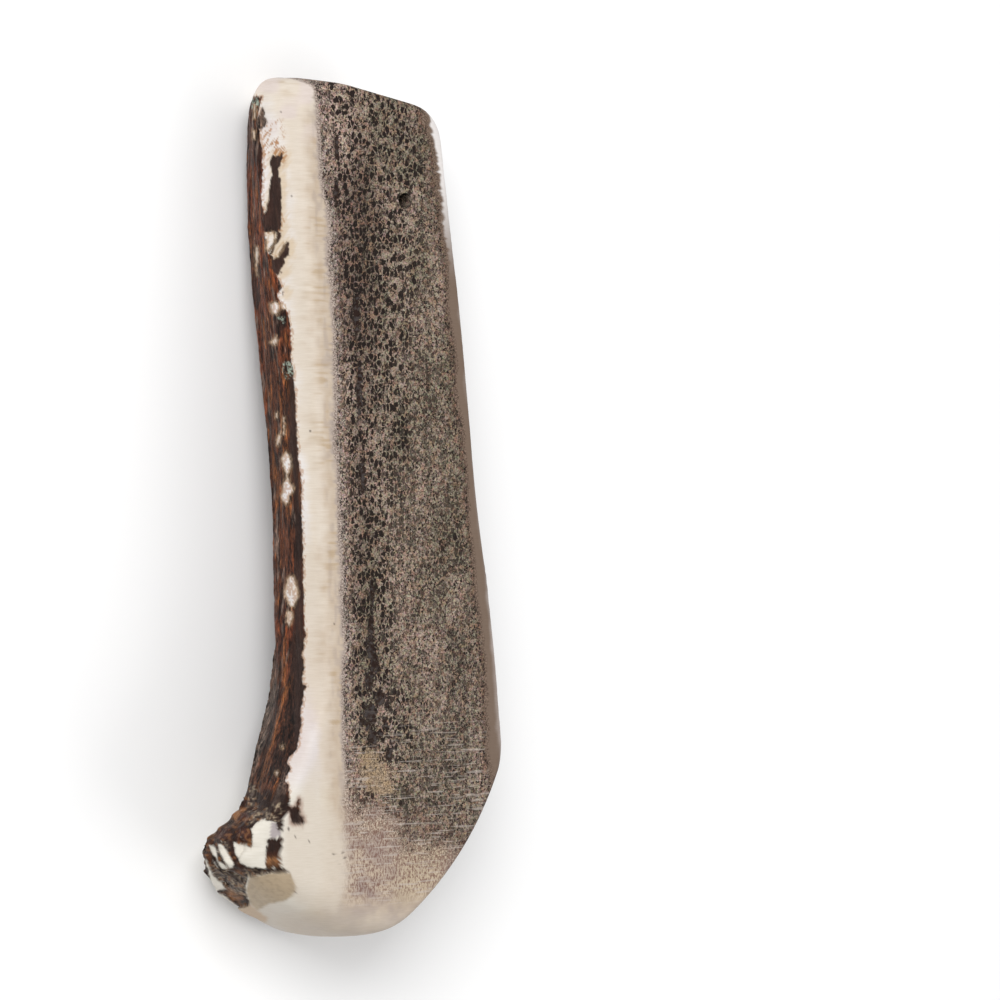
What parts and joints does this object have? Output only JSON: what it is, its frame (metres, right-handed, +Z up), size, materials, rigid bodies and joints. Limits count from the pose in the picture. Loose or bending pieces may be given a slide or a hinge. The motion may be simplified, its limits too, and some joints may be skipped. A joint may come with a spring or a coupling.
{
  "type": "split red deer antler",
  "caption": "Length of red deer antler from the burr end, sawn in half lengthwise, with bark on its round back and spongy marrow on its flat face.",
  "frame": {"origin": "on the surface that the antler lies on, under the middle of its bounding box", "axes": "+Y along the beam from the burr to the sawn upper end, +Z up, with the sawn face on top; +X to the side where the brow tine was sawn off"},
  "size_m": [0.0692, 0.1872, 0.039],
  "materials": {
    "antler": "matte"
  },
  "bodies": {
    "root": {"antler": "antler"}
  },
  "joints": []
}
